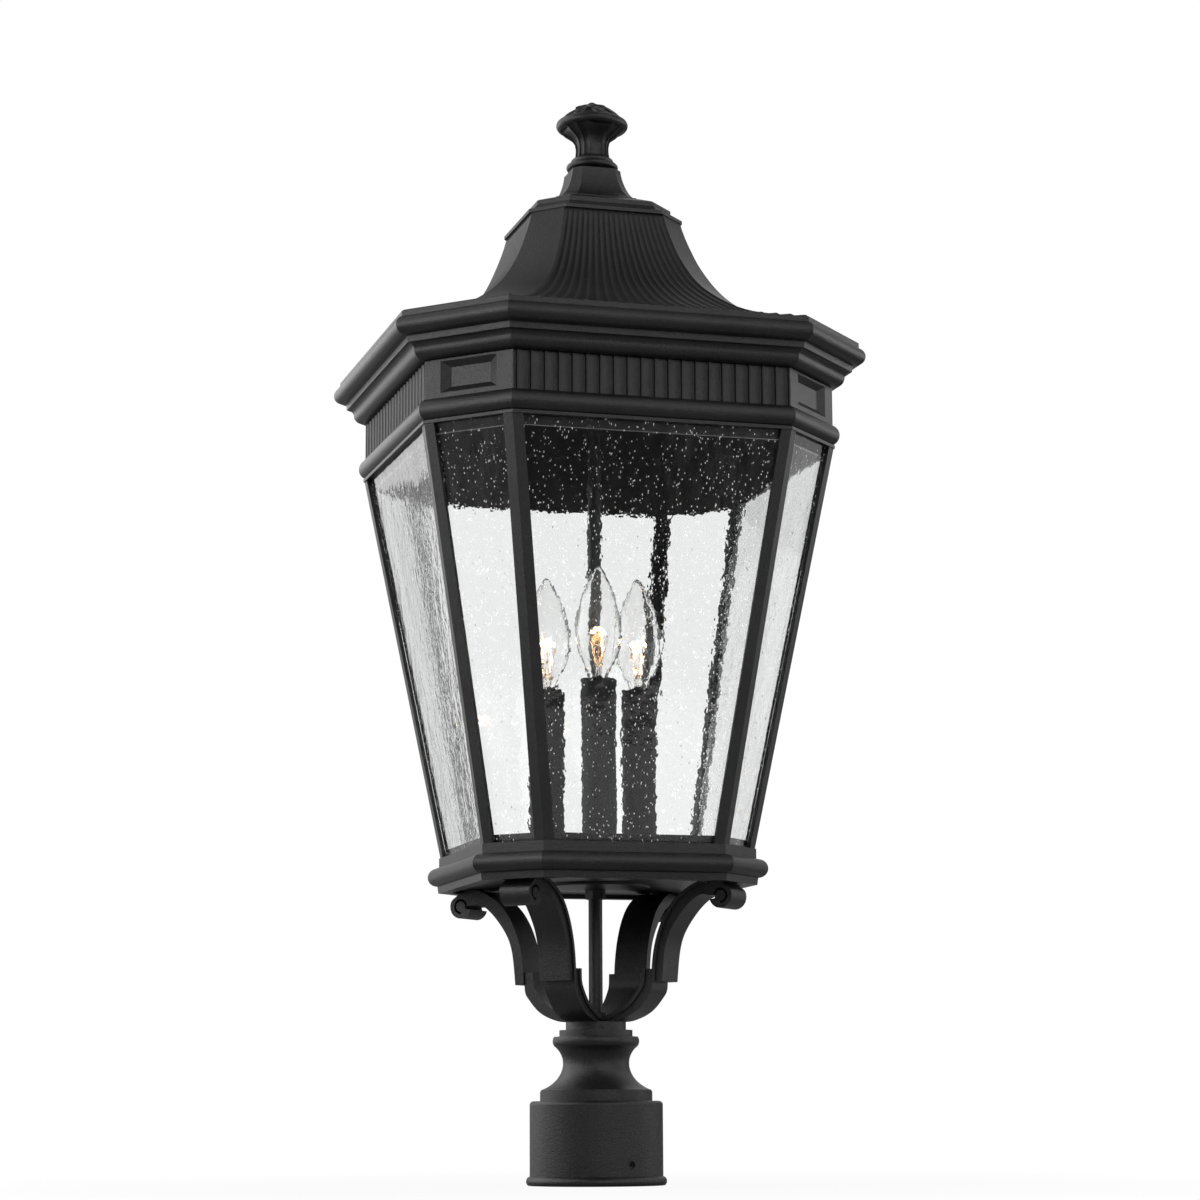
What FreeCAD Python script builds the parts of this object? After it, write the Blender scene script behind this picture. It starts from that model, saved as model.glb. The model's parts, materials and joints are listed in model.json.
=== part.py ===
import FreeCAD, Part
import math
import os

# Post top lantern: a tapering eight-sided cage with seeded-glass panes, a
# fluted bell roof with a screw-down finial, three candle lamps, four scroll
# arms and a round fitter that slips over a 3 inch post.
# Millimetres, +Z up. The origin is the centre of the fitter's bottom rim.
# The front wide face looks along -Y. W is half the distance across the wide
# flats, C is half the length of a wide side.

V = FreeCAD.Vector
TAN_H = math.tan(math.radians(22.5))
R2 = math.sqrt(0.5)

# ---- fitter -----------------------------------------------------------------
BARREL_R = 42.8
SOCKET_R = 38.9
SOCKET_DEPTH = 46.0
RIM_R, RIM_H = 45.1, 5.2
BARREL_TOP = 53.2
STEP_R, STEP_TOP = 36.1, 59.4
WAIST_R = 21.3
FLANGE_R, FITTER_TOP = 27.9, 94.0
NUT_CAVITY_R, NUT_CAVITY_TOP = 12.0, 53.4
SET_SCREW_R, SET_SCREW_Z = 2.5, 13.2
SET_SCREW_ANGLES = (15.0, 135.0, 255.0)
SET_SCREW_LEN = 2.0
HEX_SOCKET_AF, HEX_SOCKET_DEPTH = 2.5, 1.1

# ---- neck disc, hub and stem ------------------------------------------------
NECK_R, NECK_TOP = 23.6, 98.2
HUB_R, HUB_TOP = 19.4, 103.4
HUB_BOSS_R, HUB_BOSS_TOP = 8.0, 109.5
STEM_R, STEM_BORE_R = 4.5, 3.2
STEM_BOTTOM, STEM_TOP = 46.8, 214.0
STEM_NUT_AF, STEM_NUT_H = 15.0, 6.0
COLLAR_AF = 12.0

# ---- scroll arms ------------------------------------------------------------
ARM_W = 21.5
ARM_STRIP_W = 24.0
ARM_STRIP_T = 2.4
LAP_LOW, LAP_HIGH = 128.0, 136.0
SCROLL_R = 7.9
SCROLL_C = (96.0, 180.7)
SCROLL_EYE_R = 3.4
ARM_SCREW_AT = 86.0
ARM_SCREW_R = 2.4

# ---- base -------------------------------------------------------------------
BASE_BOTTOM, BASE_TOP = 188.9, 212.0
BASE_W, BASE_C = 90.4, 59.2
BASE_LAND = 7.9
BASE_BEAD_R, BASE_BEAD_Z = 6.0, 199.4
FLOOR_LOW, FLOOR_HIGH = 191.5, 194.5
COVER_R, COVER_LOW = 35.8, 187.8

# ---- cage -------------------------------------------------------------------
CAGE_TOP = 470.4
CAGE_W_LOW, CAGE_C_LOW = 89.6, 58.8
CAGE_W_HIGH, CAGE_C_HIGH = 136.2, 91.0
POST_LEG, POST_T = 6.8, 2.6
POST_WEB_HALF, POST_WEB_DEPTH = 2.0, 5.2
PANE_T = 3.1
PANE_END = 4.9
LIP_T, LIP_H, SHELF_T = 2.4, 5.5, 3.0
LIP_GAP = 0.5

# ---- cage top ring ----------------------------------------------------------
RING_W, RING_C = 135.9, 90.8
FRIEZE_LOW, FRIEZE_HIGH = 485.8, 510.6
RING_WALL = 6.0
FLUTES = 20
FRIEZE_GROOVE, FRIEZE_GROOVE_DEPTH = 1.9, 1.5
FRIEZE_PANEL_DEPTH = 0.95
FRIEZE_LAND = 0.9
RECESS_W, RECESS_H, RECESS_DEPTH = 41.0, 20.2, 3.2
RECESS_BEVEL_W, RECESS_BEVEL_H = 6.2, 3.8

# ---- roof -------------------------------------------------------------------
SEAT_GAP = 0.4
ROOF_LOW = FRIEZE_HIGH + SEAT_GAP
CROWN_TOP = 540.3
CROWN_W, CROWN_C = 152.5, 97.6
CROWN_BEAD_OUT, CROWN_BEAD_R, CROWN_BEAD_Z = 4.0, 6.0, 531.3
CROWN_WALL = 7.0
BELL_LEVELS = ((631.6, 51.3, 33.9), (625.0, 53.0, 35.0), (617.0, 55.6, 36.7), (608.0, 59.0, 38.9),
               (599.0, 63.0, 41.6), (590.0, 68.0, 44.9), (580.0, 75.0, 49.5), (571.0, 84.0, 55.4),
               (563.0, 94.2, 62.2), (556.0, 105.6, 69.7), (549.0, 123.0, 80.5),
               (544.6, 137.0, 89.0), (542.4, 147.0, 94.4), (541.4, 151.0, 96.6),
               (CROWN_TOP, CROWN_W - 0.4, CROWN_C - 0.4))
FLUTE_DEPTH = 0.11
MOUTH_INSET = 24.0
SPIGOT_GAP, SPIGOT_H, SPIGOT_T = 0.6, 7.0, 2.4
ROOF_WALL, SKIRT_WALL = 3.6, 5.8
SKIRT_FOOT, SKIRT_TOP = 550.0, 575.0
CAP_LOW, CAP_TOP = 631.6, 672.2
CAP_CONE_LOW = 647.6
CAP_BASE_W = 40.0
CAP_RATIO, CAP_CONE_RATIO = 0.62, 0.68

# ---- rod and finial ---------------------------------------------------------
ROD_R = 4.5
ROD_BOTTOM, ROD_TOP = 215.0, 668.0
ROD_CLEAR_R = 5.1
STUD_R, STUD_BOTTOM, STUD_TOP = 3.0, 656.0, 696.0
FINIAL_LOW = 674.2
FINIAL_TIP = 723.0
COLLAR_R = 17.5
DOME_LOW = 702.4
BEAD_R, BEAD_Z = 24.3, 706.0
FINIAL_RIDGES = (24.0, 45.0, 66.0)
# rows of leaves on the dome: (inner radius, tip radius, half width, rise)
LEAF_ROWS = ((8.0, 20.9, 4.7, 1.2), (3.0, 14.0, 3.4, 2.3))
DOME_DROP = 4.4
NECK_HOLLOW = 0.1
LEAF_COUNT = 8
BUD_R = 3.75
INSERT_R, INSERT_BORE_R, INSERT_TOP = 5.0, 3.06, 699.0

# ---- lamps ------------------------------------------------------------------
LAMP_CIRCLE = 35.0
LAMP_TURN = -12.0
CLUSTER_R, CLUSTER_TOP = 50.0, 197.5
CUP_R, CUP_TOP = 13.2, 204.0
CUP_SPIGOT_R, CUP_SPIGOT_TOP = 9.9, 209.0
SLEEVE_R, SLEEVE_BORE_R, SLEEVE_TOP = 11.2, 10.0, 322.0
# the lamp holder's mouth lies SOCKET_SUNK under the sleeve's top, and the
# lamp's base BULB_SUNK under that mouth
SOCKET_SUNK, BULB_SUNK = 1.5, 0.5
SOCKET_PIPE_R = 5.0
SOCKET_HEAD_R, SOCKET_HEAD_H = 9.6, 32.5
SOCKET_HEAD_TOP = SLEEVE_TOP - SOCKET_SUNK
SOCKET_HEAD_LOW = SOCKET_HEAD_TOP - SOCKET_HEAD_H
BULB_BASE_R, BULB_BASE_H = 5.95, 20.0
BULB_BASE_TOP = SOCKET_HEAD_TOP - BULB_SUNK
BULB_BASE_LOW = BULB_BASE_TOP - BULB_BASE_H
LAMP_BORE_R, LAMP_BORE_SPARE = 6.3, 3.0
LAMP_BORE_LOW = BULB_BASE_LOW - LAMP_BORE_SPARE
BULB_R, BULB_H, GLASS_T = 15.0, 77.0, 0.8
# (radius, height) of the bulb's outline as shares of BULB_R and BULB_H
BULB_OUTLINE = ((0.393, 0.026), (0.44, 0.065), (0.76, 0.195), (1.0, 0.39), (0.927, 0.571),
                (0.667, 0.766), (0.347, 0.909), (0.127, 0.982))
MOUNT_H, KNEE_H, FILAMENT_H, WIRE_R = 14.0, 31.0, 49.0, 0.5

PARTS = {}


def ring_points(w, c, z):
    pts = ((c, -w), (w, -c), (w, c), (c, w), (-c, w), (-w, c), (-w, -c), (-c, -w))
    return [V(x, y, z) for x, y in pts]


def inset(w, c, d):
    """The octagon moved inward by d on all eight faces."""
    return w - d, c - TAN_H * d


def stack(levels):
    """Solid through octagons (w, c, z) given from bottom to top."""
    rings = [ring_points(w, c, z) for w, c, z in levels]
    faces = [Part.Face(Part.makePolygon(rings[0] + rings[0][:1])),
             Part.Face(Part.makePolygon(rings[-1] + rings[-1][:1]))]
    for low, high in zip(rings, rings[1:]):
        for i in range(8):
            j = (i + 1) % 8
            faces.append(Part.Face(Part.makePolygon([low[i], low[j], high[j], high[i], low[i]])))
    solid = Part.Solid(Part.Shell(faces))
    return solid if solid.Volume > 0 else solid.reversed()


def prism(points, direction):
    return Part.Face(Part.makePolygon(points + points[:1])).extrude(direction)


def cylinder(r, z0, z1, x=0.0, y=0.0):
    return Part.makeCylinder(r, z1 - z0, V(x, y, z0), V(0, 0, 1))


def tube(r, bore, z0, z1, x=0.0, y=0.0):
    return cylinder(r, z0, z1, x, y).cut(cylinder(bore, z0 - 1, z1 + 1, x, y))


def turned(edges):
    """Solid of revolution from edges in the XZ plane, closed along the axis."""
    return Part.Face(Part.Wire(edges)).revolve(V(0, 0, 0), V(0, 0, 1), 360)


def turned_polygon(profile):
    pts = [V(r, 0, z) for r, z in profile]
    return turned(Part.makePolygon(pts + pts[:1]).Edges)


def line(a, b):
    return Part.LineSegment(a, b).toShape()


def arc(a, m, b):
    return Part.Arc(a, m, b).toShape()


def spline(points, start=None, end=None):
    """Curve through the points, leaving along start and arriving along end."""
    s = Part.BSplineCurve()
    if start is None:
        s.interpolate(points)
    else:
        s.interpolate(Points=points, InitialTangent=start, FinalTangent=end)
    return s


def hexagon(af, z0, z1, x=0.0, y=0.0):
    r = af / math.sqrt(3)
    pts = [V(x + r * math.cos(math.radians(60 * i)), y + r * math.sin(math.radians(60 * i)), z0)
           for i in range(6)]
    return prism(pts, V(0, 0, z1 - z0))


def turn(shape, degrees):
    s = shape.copy()
    s.rotate(V(0, 0, 0), V(0, 0, 1), degrees)
    return s


def moulding(w0, c0, profile):
    """Octagonal ring: a closed profile swept round the octagon (w0, c0).

    Each piece of the profile is a list of 2 points (line) or 3 points (arc),
    written (offset outward from the octagon, z)."""
    edges = []
    for piece in profile:
        pts = [V(0, -(w0 + o), z) for o, z in piece]
        edges.append(line(*pts) if len(pts) == 2 else arc(*pts))
    z = profile[0][0][1]
    start = V(0, -w0, z)
    path = Part.makePolygon([start] + ring_points(w0, c0, z) + [start])
    right_corners = 1
    ring = path.makePipeShell([Part.Wire(edges)], True, False, right_corners)
    return ring if ring.Volume > 0 else ring.reversed()


def fluted_outline(w, c, z, depth, count):
    """Octagon whose four wide sides are rows of concave flutes."""
    edges = []
    corners = ring_points(w, c, z)
    for i in range(8):
        a, b = corners[i], corners[(i + 1) % 8]
        if i % 2 == 0:
            edges.append(line(a, b))
            continue
        along = (b - a) * (1.0 / count)
        inward = V(along.y, -along.x, 0)
        inward.normalize()
        if inward.dot(a + b) > 0:
            inward = inward * -1
        for k in range(count):
            p, q = a + along * k, a + along * (k + 1)
            edges.append(arc(p, (p + q) * 0.5 + inward * depth, q))
    return Part.Wire(edges)


def frieze_outline(w, c, z):
    """Octagon whose wide sides carry broad reeds between narrow grooves."""
    edges = []
    corners = ring_points(w, c, z)
    for i in range(8):
        a, b = corners[i], corners[(i + 1) % 8]
        if i % 2 == 0:
            edges.append(line(a, b))
            continue
        along = b - a
        length = along.Length
        along.normalize()
        inward = V(along.y, -along.x, 0)
        if inward.dot(a + b) > 0:
            inward = inward * -1
        panel = (length - 2 * FRIEZE_LAND - (FLUTES + 1) * FRIEZE_GROOVE) / FLUTES
        s = FRIEZE_LAND
        edges.append(line(a, a + along * s))
        for k in range(FLUTES + 1):
            p, q = a + along * s, a + along * (s + FRIEZE_GROOVE)
            edges.append(arc(p, (p + q) * 0.5 + inward * FRIEZE_GROOVE_DEPTH, q))
            s += FRIEZE_GROOVE
            if k < FLUTES:
                p, q = q, a + along * (s + panel)
                edges.append(arc(p, (p + q) * 0.5 + inward * FRIEZE_PANEL_DEPTH, q))
                s += panel
        edges.append(line(a + along * s, b))
    return Part.Wire(edges)


# ---- fitter -----------------------------------------------------------------
def make_fitter():
    edges = [
        line(V(SOCKET_R, 0, 0), V(RIM_R - 1.2, 0, 0)),
        arc(V(RIM_R - 1.2, 0, 0), V(RIM_R, 0, RIM_H * 0.45), V(RIM_R - 1.2, 0, RIM_H)),
        line(V(RIM_R - 1.2, 0, RIM_H), V(BARREL_R, 0, RIM_H + 0.6)),
        line(V(BARREL_R, 0, RIM_H + 0.6), V(BARREL_R, 0, BARREL_TOP - 2.4)),
        arc(V(BARREL_R, 0, BARREL_TOP - 2.4), V(BARREL_R - 0.8, 0, BARREL_TOP - 0.7),
            V(BARREL_R - 2.8, 0, BARREL_TOP)),
        line(V(BARREL_R - 2.8, 0, BARREL_TOP), V(STEP_R, 0, BARREL_TOP)),
        line(V(STEP_R, 0, BARREL_TOP), V(STEP_R, 0, STEP_TOP)),
        line(V(STEP_R, 0, STEP_TOP), V(STEM_R, 0, STEP_TOP)),
        line(V(STEM_R, 0, STEP_TOP), V(STEM_R, 0, NUT_CAVITY_TOP)),
        line(V(STEM_R, 0, NUT_CAVITY_TOP), V(NUT_CAVITY_R, 0, NUT_CAVITY_TOP)),
        line(V(NUT_CAVITY_R, 0, NUT_CAVITY_TOP), V(NUT_CAVITY_R, 0, SOCKET_DEPTH)),
        line(V(NUT_CAVITY_R, 0, SOCKET_DEPTH), V(SOCKET_R, 0, SOCKET_DEPTH)),
        line(V(SOCKET_R, 0, SOCKET_DEPTH), V(SOCKET_R, 0, 0)),
    ]
    fitter = turned(edges)
    screws = []
    for angle in SET_SCREW_ANGLES:
        a = math.radians(angle)
        out = V(math.sin(a), -math.cos(a), 0)
        seat = out * (SOCKET_R - 4) + V(0, 0, SET_SCREW_Z)
        fitter = fitter.cut(Part.makeCylinder(SET_SCREW_R, 12, seat, out))
        start = out * (SOCKET_R + 0.2) + V(0, 0, SET_SCREW_Z)
        screw = Part.makeCylinder(SET_SCREW_R, SET_SCREW_LEN, start, out)
        side = V(math.cos(a), math.sin(a), 0)
        r = HEX_SOCKET_AF / math.sqrt(3)
        mouth = start + out * (SET_SCREW_LEN - HEX_SOCKET_DEPTH)
        pts = [mouth + side * (r * math.cos(math.radians(60 * k)))
               + V(0, 0, r * math.sin(math.radians(60 * k))) for k in range(6)]
        screws.append(screw.cut(prism(pts, out * (HEX_SOCKET_DEPTH + 1))))
    PARTS["post_fitter"] = fitter
    PARTS["fitter_set_screws"] = Part.makeCompound(screws)


def make_neck():
    foot, lip = V(STEP_R - 0.6, 0, STEP_TOP + 0.8), V(FLANGE_R - 1.0, 0, FITTER_TOP - 6.0)
    waist = spline([foot, V(WAIST_R + 6.6, 0, 64.4), V(WAIST_R + 1.8, 0, 70.2), V(WAIST_R, 0, 77.5),
                    V(WAIST_R + 1.4, 0, 83.0), lip])
    rim = V(FLANGE_R - 0.8, 0, FITTER_TOP)
    PARTS["fitter_neck"] = turned([
        line(V(STEM_R, 0, STEP_TOP), V(foot.x, 0, STEP_TOP)),
        line(V(foot.x, 0, STEP_TOP), foot),
        waist.toShape(),
        arc(lip, V(FLANGE_R, 0, FITTER_TOP - 3.2), rim),
        line(rim, V(STEM_R, 0, FITTER_TOP)),
        line(V(STEM_R, 0, FITTER_TOP), V(STEM_R, 0, STEP_TOP)),
    ])
    PARTS["neck_disc"] = tube(NECK_R, STEM_R, FITTER_TOP, NECK_TOP)
    hub = cylinder(HUB_R, NECK_TOP, HUB_TOP).fuse(cylinder(HUB_BOSS_R, HUB_TOP, HUB_BOSS_TOP))
    PARTS["arm_hub"] = hub.cut(cylinder(STEM_R, NECK_TOP - 1, HUB_BOSS_TOP + 1)).removeSplitter()
    PARTS["stem_tube"] = tube(STEM_R, STEM_BORE_R, STEM_BOTTOM, STEM_TOP)
    low = NUT_CAVITY_TOP - STEM_NUT_H
    PARTS["stem_lock_nut"] = hexagon(STEM_NUT_AF, low, NUT_CAVITY_TOP).cut(
        cylinder(STEM_R, low - 1, NUT_CAVITY_TOP + 1))
    PARTS["stem_collar_nut"] = hexagon(COLLAR_AF, COVER_LOW - 5.5, COVER_LOW).cut(
        cylinder(STEM_R, COVER_LOW - 7, COVER_LOW + 1))


# ---- scroll arms ------------------------------------------------------------
def offset_points(curve, distance, count):
    """Points beside a curve in the XZ plane, on the left of its direction."""
    pts = []
    first, last = curve.FirstParameter, curve.LastParameter
    for k in range(count + 1):
        u = first + (last - first) * k / count
        t = curve.tangent(u)[0]
        pts.append(curve.value(u) + V(t.z, 0, -t.x) * distance)
    return pts


def thick_slab(edges, width):
    face = Part.Face(Part.Wire(edges))
    face.translate(V(0, -width / 2, 0))
    return face.extrude(V(0, width, 0))


def make_arms():
    cx, cz = SCROLL_C
    flat, upright = V(1, 0, 0), V(0, 0, 1)
    # lower leg: rises from the hub and ends behind the foot of the scroll
    leg_in = spline([V(0, 0, 105.0), V(11.0, 0, 106.0), V(20.0, 0, 109.4), V(31.5, 0, 116.5),
                     V(37.8, 0, 124.5), V(39.9, 0, LAP_HIGH)], flat, upright)
    leg_out = spline([V(16.6, 0, HUB_TOP), V(26.0, 0, 105.2), V(36.8, 0, 110.8), V(44.2, 0, 118.9),
                      V(47.0, 0, LAP_LOW)], flat, upright)
    foot, heel = V(47.0, 0, LAP_LOW), V(54.0, 0, LAP_LOW)
    lap = V(47.6, 0, LAP_HIGH)
    leg = thick_slab([leg_in.toShape(), line(V(39.9, 0, LAP_HIGH), lap), line(lap, foot),
                      leg_out.toShape(), line(V(16.6, 0, HUB_TOP), V(0, 0, HUB_TOP)),
                      line(V(0, 0, HUB_TOP), V(0, 0, 105.0))], ARM_W)
    inner = offset_points(leg_in, ARM_STRIP_T, 12)
    leg_strip = thick_slab([leg_in.toShape(), line(V(39.9, 0, LAP_HIGH), inner[-1]),
                            spline(inner).toShape(), line(inner[0], V(0, 0, 105.0))], ARM_STRIP_W)
    # upper scroll: a strap that rises, bows outward and rolls over its end
    peak, roll_out, roll_in = V(88.0, 0, 191.2), V(cx + SCROLL_R, 0, cz), V(cx - SCROLL_R, 0, cz)
    crest = spline([foot, V(47.4, 0, 138.0), V(48.8, 0, 148.4), V(52.4, 0, 161.0), V(59.6, 0, 174.6),
                    V(69.0, 0, 184.0), V(79.0, 0, 189.6), peak], upright, flat)
    brow = spline([peak, V(95.4, 0, 189.8), V(101.0, 0, 186.2), roll_out], flat, upright * -1)
    under = spline([roll_in, V(83.4, 0, 181.9), V(74.8, 0, 177.6), V(65.7, 0, 168.0),
                    V(58.6, 0, 156.4), V(55.6, 0, 144.0), heel])
    strap = thick_slab([crest.toShape(), brow.toShape(), arc(roll_out, V(cx, 0, cz - SCROLL_R), roll_in),
                        under.toShape(), line(heel, foot)], ARM_W)
    inner = offset_points(crest, ARM_STRIP_T, 16)
    strap_strip = thick_slab([crest.toShape(), line(peak, inner[-1]),
                              spline(inner).toShape(), line(inner[0], foot)], ARM_STRIP_W)
    # curl: an open slot round the scroll's eye
    slot_out, slot_in = SCROLL_EYE_R + 1.6, SCROLL_EYE_R
    a0, a1 = math.radians(175), math.radians(-95)

    def polar(r, a):
        return V(cx + r * math.cos(a), 0, cz + r * math.sin(a))
    mid = (a0 + a1) / 2
    slot = thick_slab([arc(polar(slot_out, a0), polar(slot_out, mid), polar(slot_out, a1)),
                       line(polar(slot_out, a1), polar(slot_in, a1)),
                       arc(polar(slot_in, a1), polar(slot_in, mid), polar(slot_in, a0)),
                       line(polar(slot_in, a0), polar(slot_out, a0))], ARM_STRIP_W + 2)
    mouth = thick_slab([line(V(cx - 9.5, 0, cz + 0.4), V(cx - slot_in, 0, cz + 0.2)),
                        line(V(cx - slot_in, 0, cz + 0.2), V(cx - slot_in - 0.6, 0, cz - 1.6)),
                        line(V(cx - slot_in - 0.6, 0, cz - 1.6), V(cx - 9.5, 0, cz - 2.6)),
                        line(V(cx - 9.5, 0, cz - 2.6), V(cx - 9.5, 0, cz + 0.4))], ARM_STRIP_W + 2)
    arm = leg.fuse([leg_strip, strap, strap_strip])
    arm = arm.fuse(cylinder(5.5, 186.0, FLOOR_LOW, ARM_SCREW_AT))
    arm = arm.cut([slot, mouth, cylinder(ARM_SCREW_R, FLOOR_LOW - 7, FLOOR_LOW + 1, ARM_SCREW_AT)])
    # the feet meet at 45 degree mitres round the hub boss
    wedge = prism([V(0, 0, HUB_TOP), V(120, -120, HUB_TOP), V(120, 120, HUB_TOP)], V(0, 0, 100))
    arm = arm.common(wedge).cut(cylinder(HUB_BOSS_R, HUB_TOP - 1, HUB_BOSS_TOP))
    arm = arm.removeSplitter()
    for name, angle in (("scroll_arm_front_right", -45), ("scroll_arm_back_right", 45),
                        ("scroll_arm_back_left", 135), ("scroll_arm_front_left", 225)):
        PARTS[name] = turn(arm, angle)
    screw = cylinder(ARM_SCREW_R, FLOOR_LOW - 6, FLOOR_HIGH, ARM_SCREW_AT)
    head = Part.makeCylinder(4.4, 2.6, V(ARM_SCREW_AT, 0, FLOOR_HIGH))
    head = head.makeFillet(1.4, [head.Edges[0]])
    screw = screw.fuse(head).cut(Part.makeBox(9, 1.1, 2, V(ARM_SCREW_AT - 4.5, -0.55, FLOOR_HIGH + 1.5)))
    PARTS["arm_screws"] = Part.makeCompound([turn(screw.removeSplitter(), 45 + 90 * k) for k in range(4)])


# ---- base -------------------------------------------------------------------
def make_base():
    z0, z1 = BASE_BOTTOM, BASE_TOP
    bead, ledge = BASE_BEAD_Z, -BASE_LAND - 2.4
    profile = [
        [(-BASE_LAND, z0), (0.4, z0)],
        [(0.4, z0), (1.0, bead - BASE_BEAD_R)],
        [(1.0, bead - BASE_BEAD_R), (1.0 + BASE_BEAD_R, bead), (1.0, bead + BASE_BEAD_R)],
        [(1.0, bead + BASE_BEAD_R), (0.0, bead + BASE_BEAD_R + 0.2)],
        [(0.0, bead + BASE_BEAD_R + 0.2), (0.0, z1)],
        [(0.0, z1), (ledge, z1)],
        [(ledge, z1), (ledge, FLOOR_HIGH)],
        [(ledge, FLOOR_HIGH), (-BASE_LAND, FLOOR_HIGH)],
        [(-BASE_LAND, FLOOR_HIGH), (-BASE_LAND, z0)],
    ]
    ring = moulding(BASE_W, BASE_C, profile)
    w, c = inset(BASE_W, BASE_C, BASE_LAND - 1.0)
    floor = stack([(w, c, FLOOR_LOW), (w, c, FLOOR_HIGH)])
    base = ring.fuse(floor)
    # lip that stands behind the feet of the panes
    w, c = inset(CAGE_W_LOW, CAGE_C_LOW, POST_T + PANE_T)
    rise = LIP_H / (CAGE_TOP - BASE_TOP)
    w_top, c_top = w + (CAGE_W_HIGH - CAGE_W_LOW) * rise, c + (CAGE_C_HIGH - CAGE_C_LOW) * rise
    outer = stack([(w, c, z1 - 1), (w, c, z1), (w_top, c_top, z1 + LIP_H)])
    w_in, c_in = inset(w, c, LIP_T)
    lip = outer.cut(stack([(w_in, c_in, z1 - 2), (w_in, c_in, z1 + LIP_H + 1)]))
    base = base.fuse(lip).cut(cylinder(STEM_R, FLOOR_LOW - 1, FLOOR_HIGH + 1))
    for k in range(4):
        a = math.radians(45 + 90 * k)
        base = base.cut(cylinder(ARM_SCREW_R, FLOOR_LOW - 1, FLOOR_HIGH + 1,
                                 ARM_SCREW_AT * math.cos(a), ARM_SCREW_AT * math.sin(a)))
    PARTS["base_frame"] = base.removeSplitter()
    PARTS["underside_cover"] = turned_polygon([
        (STEM_R, COVER_LOW), (9.0, COVER_LOW), (COVER_R - 1.0, 189.6), (COVER_R, 190.2),
        (COVER_R, FLOOR_LOW), (STEM_R, FLOOR_LOW)])


# ---- cage posts and panes ---------------------------------------------------
def cage_octagon(z):
    t = (z - BASE_TOP) / (CAGE_TOP - BASE_TOP)
    return CAGE_W_LOW + (CAGE_W_HIGH - CAGE_W_LOW) * t, CAGE_C_LOW + (CAGE_C_HIGH - CAGE_C_LOW) * t


def post_section(z):
    """Section at the corner (C, -W): two legs on the faces and a web between."""
    w, c = cage_octagon(z)
    corner = V(c, -w, z)
    along_f, along_c = V(-1, 0, 0), V(R2, R2, 0)
    in_f, in_c = V(0, 1, 0), V(-R2, R2, 0)
    bisect = in_f + in_c
    bisect.normalize()
    root = corner + bisect * (POST_T / math.cos(math.radians(22.5)))
    return [corner, corner + along_c * POST_LEG,
            corner + along_c * POST_LEG + in_c * POST_T,
            root + along_c * POST_WEB_HALF,
            root + along_c * POST_WEB_HALF + bisect * POST_WEB_DEPTH,
            root + along_f * POST_WEB_HALF + bisect * POST_WEB_DEPTH,
            root + along_f * POST_WEB_HALF,
            corner + along_f * POST_LEG + in_f * POST_T,
            corner + along_f * POST_LEG]


def between(low, high):
    """Straight solid between two like polygons, low and high."""
    n = len(low)
    faces = [Part.Face(Part.makePolygon(low + low[:1])), Part.Face(Part.makePolygon(high + high[:1]))]
    for i in range(n):
        j = (i + 1) % n
        faces.append(Part.Face(Part.makePolygon([low[i], low[j], high[j], high[i], low[i]])))
    solid = Part.Solid(Part.Shell(faces))
    return solid if solid.Volume > 0 else solid.reversed()


def make_cage():
    post = between(post_section(BASE_TOP), post_section(CAGE_TOP))
    # the web stops short where the lips behind the panes pass
    for z0, z1 in ((BASE_TOP, BASE_TOP + LIP_H + LIP_GAP), (CAGE_TOP - LIP_H - LIP_GAP, CAGE_TOP)):
        post = post.cut(stack([inset(*cage_octagon(z), POST_T + PANE_T) + (z,) for z in (z0, z1)]))
    left_hand = post.mirror(V(0, 0, 0), V(1, 0, 0))
    sides = ("front", "right", "back", "left")
    for k, side in enumerate(sides):
        PARTS["post_%s_a" % side] = turn(left_hand, 90 * k)
        PARTS["post_%s_b" % side] = turn(post, 90 * k)

    def pane(wide):
        rows = []
        for z in (BASE_TOP, CAGE_TOP):
            w, c = cage_octagon(z)
            dist = w if wide else (w + c) * R2
            half = (c if wide else (w - c) * R2) - PANE_END
            rows.append([V(-half, -dist + POST_T, z), V(half, -dist + POST_T, z),
                         V(half, -dist + POST_T + PANE_T, z), V(-half, -dist + POST_T + PANE_T, z)])
        return between(*rows)
    wide, narrow = pane(True), pane(False)
    for k, side in enumerate(sides):
        PARTS["pane_%s" % side] = turn(wide, 90 * k)
    for k, side in enumerate(("front_right", "back_right", "back_left", "front_left")):
        PARTS["pane_%s" % side] = turn(narrow, 45 + 90 * k)


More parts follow.
